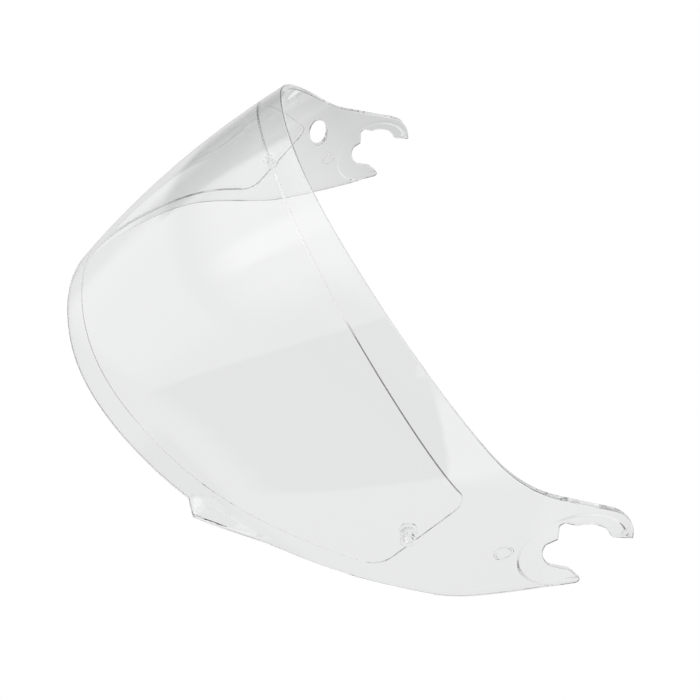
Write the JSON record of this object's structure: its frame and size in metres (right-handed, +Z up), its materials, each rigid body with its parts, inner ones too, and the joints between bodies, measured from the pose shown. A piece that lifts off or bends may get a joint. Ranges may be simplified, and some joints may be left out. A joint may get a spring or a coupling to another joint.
{
  "type": "motorcycle helmet visor",
  "caption": "Clear curved helmet visor with hook-shaped side arms, a recess for an anti-fog insert, turning eccentric pins and a thumb tab on the lower edge.",
  "frame": {"origin": "midway between the centres of the two round hook seats, on the axis that the visor turns about on its helmet", "axes": "+X to the wearer's left along the pivot axis, -Y forward out of the face, +Z up"},
  "size_m": [0.244, 0.1408, 0.1153],
  "materials": {
    "clear_shell": "polished clear polycarbonate",
    "pin_plastic": "moulded translucent plastic"
  },
  "bodies": {
    "shell": {"visor_shell": "clear_shell"},
    "left_pin": {"left_eccentric_pin": "pin_plastic", "left_pin_cap": "pin_plastic"},
    "right_pin": {"right_eccentric_pin": "pin_plastic", "right_pin_cap": "pin_plastic"}
  },
  "joints": [
    {"name": "left_pin_turn", "type": "hinge", "parent": "shell", "child": "left_pin", "pos_m": [0.10414, -0.04475, -0.03522], "axis": [0.9392, -0.341, -0.0393], "continuous": true},
    {"name": "right_pin_turn", "type": "hinge", "parent": "shell", "child": "right_pin", "pos_m": [-0.10414, -0.04475, -0.03522], "axis": [-0.9392, -0.341, -0.0393], "continuous": true}
  ]
}
